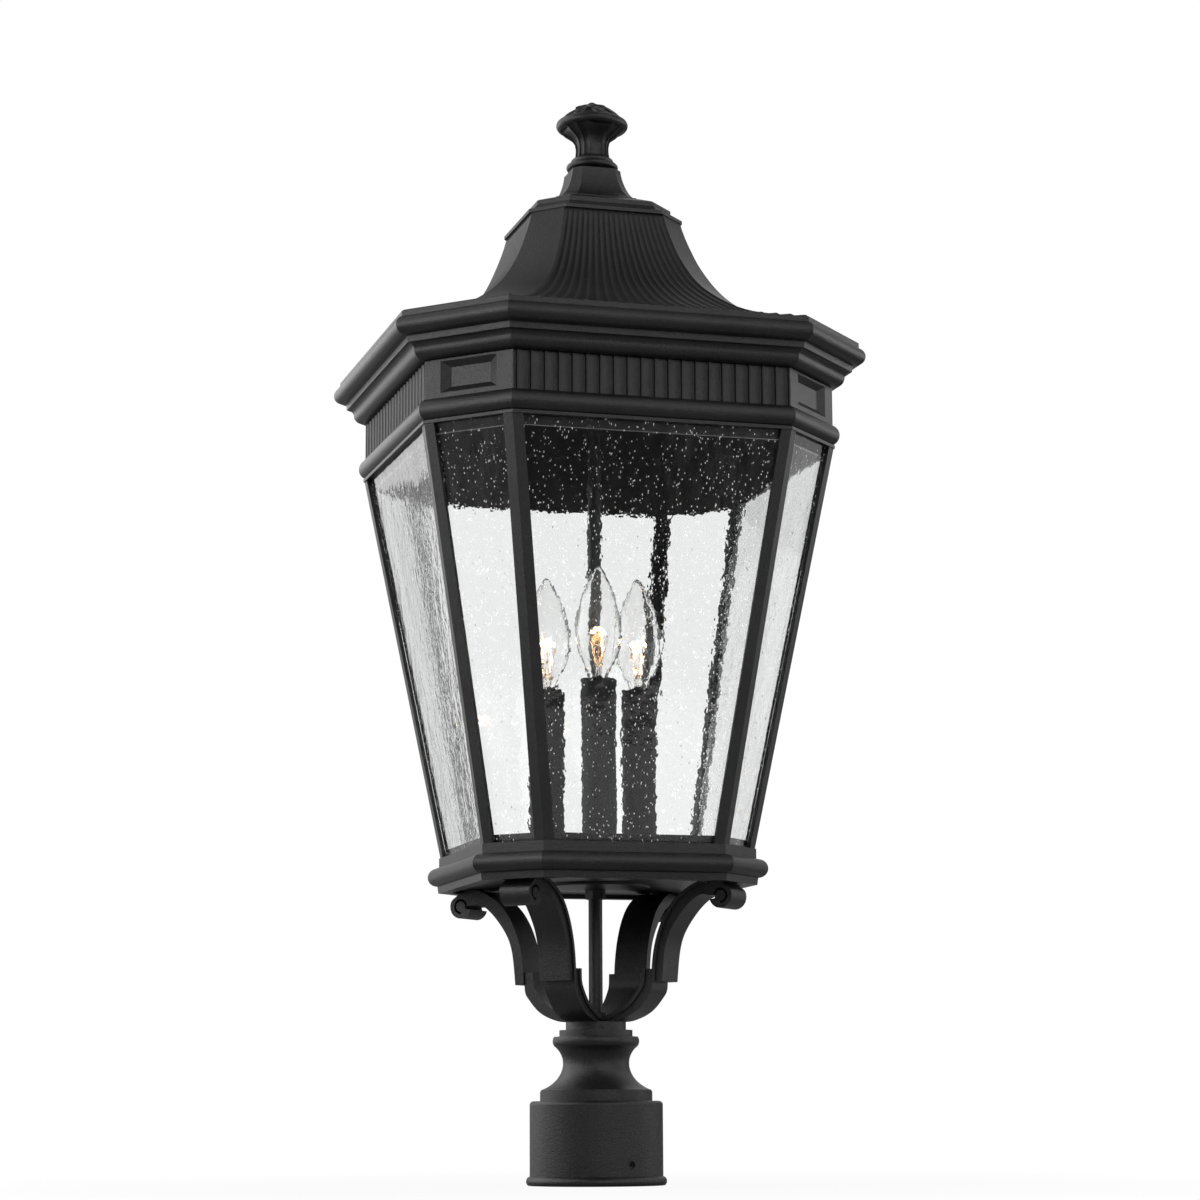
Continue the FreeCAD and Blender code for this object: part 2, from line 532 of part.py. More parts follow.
# ---- cage top ring ----------------------------------------------------------
def make_top_ring():
    low = CAGE_TOP
    profile = [
        [(-RING_WALL, low), (1.1, low)],
        [(1.1, low), (1.2, 472.4)],
        [(1.2, 472.4), (0.2, 472.7)],
        [(0.2, 472.7), (4.1, 479.1), (0.2, FRIEZE_LOW)],
        [(0.2, FRIEZE_LOW), (-RING_WALL, FRIEZE_LOW)],
        [(-RING_WALL, FRIEZE_LOW), (-RING_WALL, low)],
    ]
    foot = moulding(RING_W, RING_C, profile)
    frieze = Part.Face(frieze_outline(RING_W, RING_C, FRIEZE_LOW)).extrude(
        V(0, 0, FRIEZE_HIGH - FRIEZE_LOW))
    w, c = inset(RING_W, RING_C, RING_WALL)
    frieze = frieze.cut(stack([(w, c, FRIEZE_LOW - 1), (w, c, FRIEZE_HIGH + 1)]))
    # bevelled recess in each narrow side
    dist = (RING_W + RING_C) * R2
    mid_z = (FRIEZE_LOW + FRIEZE_HIGH) / 2 + 0.8
    past = 0.15  # the cutter's mouth stands this share of the depth outside the face

    def rectangle(half_w, half_h, depth):
        return [V(i * half_w, -dist + depth, mid_z + j * half_h)
                for i, j in ((-1, -1), (1, -1), (1, 1), (-1, 1))]
    half_w, half_h = RECESS_W / 2, RECESS_H / 2
    recess = between(
        rectangle(half_w + past * RECESS_BEVEL_W, half_h + past * RECESS_BEVEL_H, -past * RECESS_DEPTH),
        rectangle(half_w - RECESS_BEVEL_W, half_h - RECESS_BEVEL_H, RECESS_DEPTH))
    frieze = frieze.cut([turn(recess, 45 + 90 * k) for k in range(4)])
    # lip that hangs behind the heads of the panes
    w, c = inset(CAGE_W_HIGH, CAGE_C_HIGH, POST_T + PANE_T)
    fall = LIP_H / (CAGE_TOP - BASE_TOP)
    w_low, c_low = w - (CAGE_W_HIGH - CAGE_W_LOW) * fall, c - (CAGE_C_HIGH - CAGE_C_LOW) * fall
    outer = stack([(w_low, c_low, low - LIP_H), (w, c, low), (w, c, low + SHELF_T)])
    w_in, c_in = inset(w_low, c_low, LIP_T)
    hole = stack([(w_in, c_in, low - LIP_H - 1), (w_in, c_in, low + SHELF_T + 1)])
    lip = outer.cut(hole)
    # shelf that joins the lip to the ring
    w_out, c_out = inset(RING_W, RING_C, RING_WALL - 0.5)
    shelf = stack([(w_out, c_out, low), (w_out, c_out, low + SHELF_T)]).cut(hole)
    PARTS["cage_top_ring"] = foot.fuse([frieze, lip, shelf]).removeSplitter()


# ---- roof -------------------------------------------------------------------
def make_roof():
    z0 = ROOF_LOW
    slab = CROWN_W - RING_W
    bead = slab + CROWN_BEAD_OUT - CROWN_BEAD_R
    bead_top = CROWN_BEAD_Z + math.sqrt(CROWN_BEAD_R ** 2 - (slab - bead) ** 2)
    profile = [
        [(-CROWN_WALL, z0), (0.6, z0)],
        [(0.6, z0), (0.31 * slab, 512.2), (0.46 * slab, 516.6)],
        [(0.46 * slab, 516.6), (0.55 * slab, 519.9), (0.74 * slab, 521.1)],
        [(0.74 * slab, 521.1), (0.76 * slab, 525.0)],
        [(0.76 * slab, 525.0), (bead, CROWN_BEAD_Z - CROWN_BEAD_R)],
        [(bead, CROWN_BEAD_Z - CROWN_BEAD_R), (bead + CROWN_BEAD_R, CROWN_BEAD_Z), (slab, bead_top)],
        [(slab, bead_top), (slab, CROWN_TOP)],
        [(slab, CROWN_TOP), (-CROWN_WALL, CROWN_TOP)],
        [(-CROWN_WALL, CROWN_TOP), (-CROWN_WALL, z0)],
    ]
    crown = moulding(RING_W, RING_C, profile)
    # spigot that drops inside the cage ring and keeps the roof square
    w, c = inset(RING_W, RING_C, RING_WALL + SPIGOT_GAP)
    w_in, c_in = inset(w, c, SPIGOT_T)
    spigot = stack([(w, c, z0 - SPIGOT_H), (w, c, z0 + 4)]).cut(
        stack([(w_in, c_in, z0 - SPIGOT_H - 1), (w_in, c_in, z0 + 5)]))
    w_out, c_out = inset(RING_W, RING_C, CROWN_WALL - 0.5)
    link = stack([(w_out, c_out, z0), (w_out, c_out, z0 + 4)]).cut(
        stack([(w_in, c_in, z0 - 1), (w_in, c_in, z0 + 5)]))
    PARTS["roof_cornice"] = crown.fuse([spigot, link]).removeSplitter()

    # the bell's flutes run from under the cap out to the cornice's edge; they
    # are cut level, so a flat slope needs a longer cut for the same depth
    wires = []
    for i, (z, w, c) in enumerate(BELL_LEVELS):
        above, below = BELL_LEVELS[max(i - 1, 0)], BELL_LEVELS[min(i + 1, len(BELL_LEVELS) - 1)]
        slope = math.atan2(above[0] - below[0], below[1] - above[1])
        wires.append(fluted_outline(w, c, z, FLUTE_DEPTH * 2 * c / FLUTES / math.sin(slope), FLUTES))
    bell = Part.makeLoft(wires, True, False)
    if bell.Volume < 0:
        bell = bell.reversed()
    # hollow inside, following the outside and thicker where the bell flares
    mouth = inset(CROWN_W, CROWN_C, MOUTH_INSET)
    levels = [mouth + (CROWN_TOP - 1.0,), mouth + (CROWN_TOP + 0.1,)]
    for z, w, c in sorted(BELL_LEVELS):
        flare = z < SKIRT_TOP
        if z > SKIRT_FOOT:
            levels.append(inset(w, c, SKIRT_WALL if flare else ROOF_WALL) + (z - (1.6 if flare else 0.6),))
    levels.append(levels[-1][:2] + (CAP_LOW + 1,))
    PARTS["bell_roof"] = bell.cut(stack(levels)).removeSplitter()

    levels = [(53.0, CAP_LOW), (53.0, 633.9), (50.6, 634.3), (48.2, 636.0), (46.6, 638.3), (46.2, 638.5),
              (46.2, 641.4), (44.6, 642.4), (31.0, CAP_CONE_LOW), (31.0, CAP_CONE_LOW + 0.4)]
    cap = stack([(w, w * (CAP_RATIO if w > CAP_BASE_W else CAP_CONE_RATIO), z) for w, z in levels])
    levels = [(31.0, CAP_CONE_LOW), (26.3, 650.4), (22.9, 653.8), (20.3, 658.2), (18.4, 663.2),
              (17.1, 668.2), (16.6, CAP_TOP)]
    rings = [ring_points(w, w * CAP_CONE_RATIO, z) for w, z in levels]
    cone = Part.makeLoft([Part.makePolygon(ring + ring[:1]) for ring in rings], True, False)
    if cone.Volume < 0:
        cone = cone.reversed()
    cap = cap.fuse(cone).cut(cylinder(ROD_CLEAR_R, CAP_LOW - 1, CAP_TOP + 1))
    core = turned_polygon([(ROD_CLEAR_R, CAP_LOW - 1), (24.0, CAP_LOW - 1), (20.0, 644.0),
                           (10.5, 650.0), (10.5, 664.0), (ROD_CLEAR_R, 664.0)])
    PARTS["roof_cap"] = cap.cut(core).removeSplitter()


# ---- rod and finial ---------------------------------------------------------
def make_finial():
    PARTS["centre_rod"] = cylinder(ROD_R, ROD_BOTTOM, ROD_TOP).cut(
        cylinder(STUD_R, STUD_BOTTOM, ROD_TOP + 1))
    PARTS["rod_stud"] = cylinder(STUD_R, STUD_BOTTOM, STUD_TOP)
    PARTS["finial_washer"] = tube(12.6, STUD_R + 0.5, CAP_TOP + 0.4, FINIAL_LOW - 0.4)
    z = FINIAL_LOW
    edges = [
        line(V(0, 0, z), V(COLLAR_R - 2.0, 0, z)),
        arc(V(COLLAR_R - 2.0, 0, z), V(COLLAR_R, 0, z + 2.2), V(COLLAR_R - 1.4, 0, z + 4.2)),
        line(V(COLLAR_R - 1.4, 0, z + 4.2), V(14.0, 0, z + 4.6)),
        arc(V(14.0, 0, z + 4.6), V(14.4, 0, z + 6.4), V(12.6, 0, z + 8.0)),
        line(V(12.6, 0, z + 8.0), V(10.2, 0, z + 9.4)),
        line(V(10.2, 0, z + 9.4), V(0, 0, z + 9.4)),
        line(V(0, 0, z + 9.4), V(0, 0, z)),
    ]
    collar = turned(edges)
    neck_levels = ((z + 9.0, 11.3), (686.5, 10.7), (690.0, 10.6), (693.5, 11.3), (696.5, 13.4),
                   (699.2, 17.0), (701.5, 20.2), (703.6, 22.2))
    wires = []
    for zz, r in neck_levels:
        ridges = [math.radians(90 * k + angle) for k in range(4) for angle in FINIAL_RIDGES]
        pts = [V(r * math.cos(t), r * math.sin(t), zz) for t in ridges]
        ring = []
        for a, b in zip(pts, pts[1:] + pts[:1]):
            mid = (a + b) * 0.5
            out = V(mid.x, mid.y, 0)
            out.normalize()
            ring.append(arc(a, mid - out * (NECK_HOLLOW * (b - a).Length), b))
        wires.append(Part.Wire(ring))
    neck = Part.makeLoft(wires, True, False)
    if neck.Volume < 0:
        neck = neck.reversed()
    head = turned([
        line(V(0, 0, DOME_LOW), V(BEAD_R - 2.8, 0, DOME_LOW + 0.4)),
        arc(V(BEAD_R - 2.8, 0, DOME_LOW + 0.4), V(BEAD_R, 0, BEAD_Z), V(BEAD_R - 2.2, 0, 709.2)),
        line(V(BEAD_R - 2.2, 0, 709.2), V(0, 0, 709.2)),
        line(V(0, 0, 709.2), V(0, 0, DOME_LOW)),
    ])

    def dome(rise):
        foot, peak = V(19.6 + rise, 0, 709.6), V(0, 0, FINIAL_TIP - DOME_DROP + rise)
        return turned([line(V(0, 0, DOME_LOW + 1), V(foot.x, 0, DOME_LOW + 1)),
                       line(V(foot.x, 0, DOME_LOW + 1), foot), arc(foot, V(12.6, 0, 715.2 + rise), peak),
                       line(peak, V(0, 0, DOME_LOW + 1))])
    leaves = []
    for row, (r_in, r_tip, half, rise) in enumerate(LEAF_ROWS):
        root, tip, mid = V(r_in, 0, DOME_LOW), V(r_tip, 0, DOME_LOW), (r_in + r_tip) / 2
        outline = Part.Wire([arc(root, V(mid, half, DOME_LOW), tip), arc(tip, V(mid, -half, DOME_LOW), root)])
        leaf = Part.Face(outline).extrude(V(0, 0, FINIAL_TIP - DOME_LOW)).common(dome(rise))
        leaves += [turn(leaf, 360 * (k + row / 2) / LEAF_COUNT) for k in range(LEAF_COUNT)]
    bud = Part.makeSphere(BUD_R, V(0, 0, FINIAL_TIP - BUD_R))
    body = collar.fuse([neck, head, dome(0)] + leaves + [bud])
    bore = cylinder(INSERT_R, z - 1, INSERT_TOP)
    PARTS["finial"] = body.cut(bore).removeSplitter()
    PARTS["finial_insert"] = tube(INSERT_R, INSERT_BORE_R, z, INSERT_TOP)


# ---- lamps ------------------------------------------------------------------
def lamp_places():
    for k in range(3):
        a = math.radians(LAMP_TURN + 120 * k)
        yield k + 1, LAMP_CIRCLE * math.sin(a), -LAMP_CIRCLE * math.cos(a)


def make_lamps():
    plate = cylinder(CLUSTER_R, FLOOR_HIGH, CLUSTER_TOP)
    bosses = [cylinder(11.0, CLUSTER_TOP - 1, 216.0)]
    holes = [cylinder(STEM_R, FLOOR_HIGH - 1, STEM_TOP + 0.5), cylinder(ROD_R, STEM_TOP, 217.0)]
    for _, x, y in lamp_places():
        bosses += [cylinder(CUP_R, CLUSTER_TOP - 1, CUP_TOP, x, y),
                   cylinder(CUP_SPIGOT_R, CUP_TOP - 1, CUP_SPIGOT_TOP, x, y)]
        holes.append(cylinder(2.5, FLOOR_HIGH - 1, CUP_SPIGOT_TOP + 1, x, y))
    PARTS["lamp_cluster"] = plate.fuse(bosses).cut(holes).removeSplitter()
    for k, x, y in lamp_places():
        sleeve = tube(SLEEVE_R, SLEEVE_BORE_R, CUP_TOP, SLEEVE_TOP, x, y)
        rim = [e for e in sleeve.Edges if abs(e.BoundBox.ZMin - SLEEVE_TOP) < 1e-6
               and e.BoundBox.XLength > 2 * SLEEVE_R - 0.5 and e.BoundBox.ZLength < 1e-6]
        sleeve = sleeve.makeFillet(0.9, rim)
        PARTS["candle_sleeve_%d" % k] = sleeve
        socket = cylinder(SOCKET_PIPE_R, CUP_SPIGOT_TOP, SOCKET_HEAD_LOW + 1, x, y).fuse(
            cylinder(SOCKET_HEAD_R, SOCKET_HEAD_LOW, SOCKET_HEAD_TOP, x, y)).cut(
            cylinder(LAMP_BORE_R, LAMP_BORE_LOW, SOCKET_HEAD_TOP + 1, x, y))
        PARTS["lamp_socket_%d" % k] = socket.removeSplitter()
        low = BULB_BASE_LOW
        base = turned_polygon([(0, LAMP_BORE_LOW), (2.6, LAMP_BORE_LOW), (3.0, low - 1.2), (BULB_BASE_R, low),
                               (BULB_BASE_R, BULB_BASE_TOP), (0, BULB_BASE_TOP)])
        base.translate(V(x, y, 0))
        PARTS["bulb_base_%d" % k] = base

        def envelope(wall, low_z):
            pts = [V(r * BULB_R - wall * (1 - 0.3 * h), 0, BULB_BASE_TOP + h * BULB_H - wall * h)
                   for r, h in BULB_OUTLINE]
            start, tip = V(pts[0].x, 0, low_z), V(0, 0, BULB_BASE_TOP + BULB_H - 2 * wall)
            return turned([line(V(0, 0, low_z), start), line(start, pts[0]), spline(pts).toShape(),
                           line(pts[-1], tip), line(tip, V(0, 0, low_z))])
        glass = envelope(0.0, BULB_BASE_TOP).cut(envelope(GLASS_T, BULB_BASE_TOP - 1))
        glass.translate(V(x, y, 0))
        PARTS["bulb_glass_%d" % k] = glass
        # glass stem mount with two support wires and a hooped filament
        mount = cylinder(3.4, BULB_BASE_TOP, BULB_BASE_TOP + MOUNT_H)
        peak = V(0, 0, BULB_BASE_TOP + FILAMENT_H)
        wires = [Part.makeSphere(WIRE_R, peak)]
        for side in (-1, 1):
            foot = V(1.6 * side, 0, BULB_BASE_TOP + MOUNT_H - 1)
            knee = V(5.0 * side, 0, BULB_BASE_TOP + KNEE_H)
            for a, b in ((foot, knee), (knee, peak)):
                wires.append(Part.makeCylinder(WIRE_R * 0.8, (b - a).Length, a, b - a))
            wires.append(Part.makeSphere(WIRE_R, knee))
        filament = mount.fuse(wires)
        filament.translate(V(x, y, 0))
        PARTS["bulb_filament_%d" % k] = filament.removeSplitter()


make_fitter()
make_neck()
make_arms()
make_base()
make_cage()
make_top_ring()
make_roof()
make_finial()
make_lamps()

os.makedirs("parts", exist_ok=True)
for name, shape in sorted(PARTS.items()):
    solids = shape.Solids
    box = shape.BoundBox
    print("%-26s valid %s solids %d volume %.0f  x %.1f..%.1f y %.1f..%.1f z %.2f..%.2f" % (
        name, shape.isValid(), len(solids), shape.Volume,
        box.XMin, box.XMax, box.YMin, box.YMax, box.ZMin, box.ZMax))
    shape.exportStep("parts/%s.step" % name)
print(len(PARTS), "pieces")
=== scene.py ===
# %% [markdown]
# # A post top lantern
#
# The object is a cast metal lantern for a lamp post: an eight-sided tapering
# cage with bubbly glass, a fluted bell roof, three candle lamps and four
# scroll arms over a round fitter. The CAD model already holds every piece at
# its real size, so this lesson dresses it: each finish is built from nodes,
# the small pieces that CAD keeps plain get a finer mesh, and a simple studio
# is put round it. First the CAD model is loaded and measured.

# %% Load the CAD model
import json
import math
import bpy
from mathutils import Matrix, Vector


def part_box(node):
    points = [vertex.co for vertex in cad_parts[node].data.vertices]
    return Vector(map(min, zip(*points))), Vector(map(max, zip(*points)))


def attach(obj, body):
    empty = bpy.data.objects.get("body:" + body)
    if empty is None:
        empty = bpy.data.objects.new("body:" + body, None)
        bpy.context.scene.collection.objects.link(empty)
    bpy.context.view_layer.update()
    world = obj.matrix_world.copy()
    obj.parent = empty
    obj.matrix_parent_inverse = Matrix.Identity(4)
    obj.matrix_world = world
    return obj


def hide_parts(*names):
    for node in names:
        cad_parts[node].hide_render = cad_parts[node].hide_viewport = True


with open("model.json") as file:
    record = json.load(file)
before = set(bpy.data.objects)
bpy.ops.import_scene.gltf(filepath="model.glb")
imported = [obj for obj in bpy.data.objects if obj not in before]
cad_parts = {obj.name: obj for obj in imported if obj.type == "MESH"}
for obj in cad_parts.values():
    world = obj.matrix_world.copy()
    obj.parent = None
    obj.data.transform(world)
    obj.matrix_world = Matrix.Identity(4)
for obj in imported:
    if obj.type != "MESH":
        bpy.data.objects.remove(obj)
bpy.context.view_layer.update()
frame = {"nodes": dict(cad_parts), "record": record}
nodes = frame["nodes"]
MM = 0.001

# %% [markdown]
# ## Writing a finish as sums
#
# A finish is mostly arithmetic on patterns: a noise times a strength plus a
# base value. Dragging links for each sum makes long unreadable code, so one
# small class wraps a socket, and Python's own operators add the Math nodes.

# %% Shader maths
class Val:
    """A number that varies over a surface: a socket with operators."""

    def __init__(self, tree, socket):
        self.tree, self.socket = tree, socket

    def math(self, operation, other=None, third=None):
        node = self.tree.nodes.new("ShaderNodeMath")
        node.operation = operation
        for i, value in enumerate((self, other, third)):
            if isinstance(value, Val):
                self.tree.links.new(value.socket, node.inputs[i])
            elif value is not None:
                node.inputs[i].default_value = value
        return Val(self.tree, node.outputs[0])

    def __add__(self, other):
        return self.math("ADD", other)

    def __mul__(self, other):
        return self.math("MULTIPLY", other)

    def __sub__(self, other):
        return self.math("SUBTRACT", other)

    def __rsub__(self, other):
        return self * -1.0 + other

    __radd__ = __add__
    __rmul__ = __mul__

    def above(self, edge, soft):
        """0 below edge, 1 above it, blending over soft."""
        node = self.tree.nodes.new("ShaderNodeMapRange")
        node.interpolation_type = "SMOOTHSTEP"
        self.tree.links.new(self.socket, node.inputs["Value"])
        node.inputs["From Min"].default_value = edge - soft
        node.inputs["From Max"].default_value = edge + soft
        return Val(self.tree, node.outputs["Result"])


# %% [markdown]
# Materials and the world are both node trees. One class fills any tree, and
# a second one adds what only a material has: its Principled shader and the
# patterns that are drawn in the piece's own coordinates.

# %% Node trees and finishes
class Nodes:
    """The node tree of a material or a world, emptied and filled anew."""

    def __init__(self, owner):
        owner.use_nodes = True
        self.tree = owner.node_tree
        self.tree.nodes.clear()

    def val(self, socket):
        return Val(self.tree, socket)

    def link(self, source, socket):
        self.tree.links.new(source.socket if isinstance(source, Val) else source, socket)

    def node(self, kind, settings=None, **sockets):
        """Any node: settings first, then the values or links of its sockets."""
        n = self.tree.nodes.new(kind)
        for key, value in (settings or {}).items():
            setattr(n, key, value)
        for key, value in sockets.items():
            socket = n.inputs[key.replace("_", " ")]
            if isinstance(value, (Val, bpy.types.NodeSocket)):
                self.link(value, socket)
            else:
                socket.default_value = value
        return n

    def mix(self, mask, first, second):
        """The first shader where mask is 0 and the second where it is 1."""
        n = self.node("ShaderNodeMixShader")
        for i, source in enumerate((mask, first.outputs[0], second.outputs[0])):
            self.link(source, n.inputs[i])
        return n


class Finish(Nodes):
    """A material under construction, with one Principled shader."""

    def __init__(self, name, **sockets):
        self.material = bpy.data.materials.new(name)
        super().__init__(self.material)
        self.out = self.node("ShaderNodeOutputMaterial")
        self.shader = self.node("ShaderNodeBsdfPrincipled", **sockets)
        self.show(self.shader)
        self.where = self.node("ShaderNodeTexCoord").outputs["Object"]

    def show(self, shader):
        self.link(shader.outputs[0], self.out.inputs["Surface"])

    def feed(self, socket, value):
        self.link(value, self.shader.inputs[socket])

    def stretched(self, x, y, z):
        """Object coordinates scaled on each axis, to draw a pattern out."""
        return self.node("ShaderNodeMapping", Vector=self.where, Scale=(x, y, z)).outputs[0]

    def noise(self, per_metre, detail=2.0, vector=None, roughness=0.5):
        n = self.node("ShaderNodeTexNoise", Vector=vector or self.where, Scale=per_metre,
                      Detail=detail, Roughness=roughness)
        return self.val(n.outputs["Fac"])

    def blend(self, mask, a, b):
        """Colour a where mask is 0 and colour b where it is 1."""
        n = self.node("ShaderNodeMix", {"data_type": "RGBA"})
        self.link(mask, n.inputs[0])
        n.inputs[6].default_value = (*a, 1.0)
        n.inputs[7].default_value = (*b, 1.0)
        return n.outputs[2]

    def bump(self, height, depth, strength=1.0):
        n = self.node("ShaderNodeBump", Height=height, Distance=depth, Strength=strength)
        self.feed("Normal", n.outputs[0])


# %% [markdown]
# ## Black powder coat
#
# The casting is coated with powder that is baked on. It melts into a skin
# with a fine pebbled grain, about a millimetre across, which breaks up every
# reflection. So the colour is almost one black, and the look comes from a
# small bump, from a roughness that drifts a little over the surface, and
# from dust that pales the colour very slightly in broad patches.

# %% Powder coat
DRIFT_PER_METRE, GRAIN_PER_METRE, PEBBLES_PER_METRE = 28.0, 900.0, 1500.0
GRAIN_DEPTH = 0.3 * MM
COAT_DARK, COAT_PALE = (0.0088, 0.00858, 0.0088), (0.0187, 0.01826, 0.01826)


def powder_coat(name):
    f = Finish(name, Specular_IOR_Level=0.5)
    broad = f.noise(DRIFT_PER_METRE, detail=3.0)
    fine = f.noise(GRAIN_PER_METRE)
    pebble = f.noise(PEBBLES_PER_METRE, detail=3.0, roughness=0.6)
    dust = (broad * 0.5 + fine * 0.5).above(0.51, 0.13)
    f.feed("Base Color", f.blend(dust, COAT_DARK, COAT_PALE))
    f.feed("Roughness", 0.27 + broad * 0.07 + fine * 0.07)
    f.bump(pebble * 0.7 + fine * 0.8, GRAIN_DEPTH)
    return f.material


coat = powder_coat("black powder coat")
print("powder coat grain is about", round(1000 / GRAIN_PER_METRE, 1), "mm")

# %% [markdown]
# ## Seeded glass
#
# Seeded glass is clear sheet with small bubbles left in it on purpose. Drawn
# upward while soft, some bubbles are pulled into streaks, and both faces keep
# a gentle ripple. What stands behind looks ragged at its edges, and each
# bubble is a bright fleck on a dark thing and a grey fleck on a white one.
# Real bubble meshes would need thousands of tiny shells. A bubble scatters
# what it lets through, so here each one is a spot of rough glass that is
# mixed into the smooth glass, and only the slow ripple is a bump. The small
# ones gather light from all round, which a faint glow of their own stands for:
# that glow is painted light, as a bubble gives none.

# %% Seeded glass
WHITE = (1.0, 1.0, 1.0, 1.0)
# cells in a metre, share of them that hold a bubble, its radius, and how many
# times longer than wide it is
LARGE_SEEDS = (230.0, 0.4, 0.62 * MM, 1.6)
FINE_SEEDS = (560.0, 0.4, 0.34 * MM, 2.2)
STREAKS = (470.0, 0.6, 0.26 * MM, 6.0)
# the small bubbles' emission is painted light, standing for the light they gather
BUBBLE_COVER, SMALL_SEED_PAINTED_GLOW = 0.9, 0.6


def seeds(f, per_metre, share, radius, length):
    """Spots round some points of a drawn-out Voronoi pattern, 1 inside."""
    cells = f.node("ShaderNodeTexVoronoi", Vector=f.stretched(1.0, 1.0, 1.0 / length),
                   Scale=per_metre).outputs
    dice = f.node("ShaderNodeSeparateColor", Color=cells["Color"]).outputs[0]
    chosen = f.val(dice).above(1.0 - share, 0.01)
    size = radius * per_metre
    return (1.0 - f.val(cells["Distance"]).above(size * 0.75, size * 0.25)) * chosen


def seeded_glass(name):
    f = Finish(name, Base_Color=(0.968, 0.974, 0.974, 1.0), Transmission_Weight=1.0, IOR=1.47,
               Roughness=0.0, Specular_IOR_Level=0.5)
    slow = f.noise(30.0, detail=1.0, vector=f.stretched(1.0, 1.0, 0.6))
    ripple = f.noise(120.0, vector=f.stretched(1.0, 1.0, 0.7))
    crinkle = f.noise(380.0, detail=1.0)
    f.bump(slow * 0.32 + ripple * 0.15 + crinkle * 0.03, 1.0 * MM)
    small = seeds(f, *FINE_SEEDS).math("MAXIMUM", seeds(f, *STREAKS))
    shown = f.shader
    for spots, glow in ((seeds(f, *LARGE_SEEDS), 0.0), (small, SMALL_SEED_PAINTED_GLOW)):
        bubble = f.node("ShaderNodeBsdfPrincipled", Base_Color=WHITE, Transmission_Weight=1.0,
                        IOR=1.25, Roughness=0.85, Emission_Color=WHITE, Emission_Strength=glow)
        shown = f.mix(spots * BUBBLE_COVER, shown, bubble)
    f.show(shown)
    return f.material


glass = seeded_glass("seeded glass")
print("the large seeds are about", round(2 * LARGE_SEEDS[2] / MM, 1), "mm across")

# %% [markdown]
# ## The lamps' finishes
#
# The bulbs are thin clear glass with a faint pull in it near the tip. Their
# wire glows, so it gives light of its own. The candle sleeves are matt black
# card with a soft sheen, the lamp holders are moulded and the threaded lamp
# caps are plated.

# %% Bulb glass and wire
FILAMENT_GLOW = 70.0


def bulb_clear(name):
    f = Finish(name, Base_Color=(0.99, 0.99, 0.985, 1.0), Transmission_Weight=1.0, IOR=1.46,
               Roughness=0.0)
    pull = f.noise(60.0, detail=1.0, vector=f.stretched(1.0, 1.0, 0.3))
    f.bump(pull, 0.2 * MM, strength=0.5)
    return f.material


def glowing_wire(name):
    f = Finish(name, Base_Color=(0.5, 0.3, 0.12, 1.0), Roughness=0.4,
               Emission_Strength=FILAMENT_GLOW)
    turns = f.noise(900.0, detail=0.0)
    f.feed("Emission Color", f.blend(turns, (1.0, 0.56, 0.2), (1.0, 0.84, 0.55)))
    return f.material


def stem_glass(name):
    f = Finish(name, Base_Color=(1.0, 0.97, 0.93, 1.0), Transmission_Weight=1.0, IOR=1.5,
               Roughness=0.08)
    f.bump(f.noise(420.0, vector=f.stretched(1.0, 1.0, 0.3)), 0.3 * MM, strength=0.8)
    return f.material


def support_wire(name):
    f = Finish(name, Base_Color=(0.55, 0.42, 0.28, 1.0), Metallic=1.0)
    f.feed("Roughness", 0.22 + f.noise(600.0) * 0.2)
    return f.material


# %% Sleeve, holder and cap
def sleeve_card(name):
    f = Finish(name, Specular_IOR_Level=0.3)
    grain = f.noise(700.0, detail=3.0, vector=f.stretched(1.0, 1.0, 0.25))
    f.feed("Base Color", f.blend(grain, (0.008, 0.008, 0.008), (0.018, 0.017, 0.016)))
    f.feed("Roughness", 0.5 + grain * 0.2)
    f.bump(grain, 0.08 * MM, strength=0.6)
    return f.material


def moulded_holder(name):
    f = Finish(name, Specular_IOR_Level=0.4)
    flow = f.noise(120.0, detail=3.0)
    f.feed("Base Color", f.blend(flow, (0.016, 0.014, 0.012), (0.034, 0.030, 0.026)))
    f.feed("Roughness", 0.34 + flow * 0.16)
    f.bump(f.noise(500.0), 0.06 * MM, strength=0.5)
    return f.material


def plated_shell(name):
    f = Finish(name, Metallic=1.0)
    smear = f.noise(300.0, detail=3.0, vector=f.stretched(1.0, 1.0, 3.0))
    f.feed("Base Color", f.blend(smear, (0.55, 0.51, 0.44), (0.74, 0.71, 0.64)))
    f.feed("Roughness", 0.2 + smear * 0.2)
    thread = f.node("ShaderNodeTexWave", {"wave_type": "BANDS", "bands_direction": "Z"},
                    Vector=f.where, Scale=140.0)
    f.bump(f.val(thread.outputs["Fac"]), 0.4 * MM, strength=0.8)
    return f.material


# %% [markdown]
# ## The small metal and rubber pieces
#
# The finial's insert is turned, so its brass is streaked round the axis. The
# sealing washer has the pale bloom of rubber, and the nuts and screws are
# blackened steel with an oxide that isn't even.

# %% Insert, washer, nuts and screws
def turned_brass(name):
    f = Finish(name, Metallic=1.0)
    lathe = f.noise(900.0, vector=f.stretched(0.05, 0.05, 1.0))
    f.feed("Base Color", f.blend(lathe, (0.50, 0.34, 0.12), (0.72, 0.53, 0.24)))
    f.feed("Roughness", 0.25 + lathe * 0.2)
    return f.material


def matt_rubber(name):
    f = Finish(name, Specular_IOR_Level=0.3)
    bloom = f.noise(90.0, detail=4.0)
    f.feed("Base Color", f.blend(bloom, (0.012, 0.012, 0.012), (0.03, 0.029, 0.028)))
    f.feed("Roughness", 0.7 + bloom * 0.2)
    f.bump(f.noise(1200.0), 0.05 * MM, strength=0.6)
    return f.material


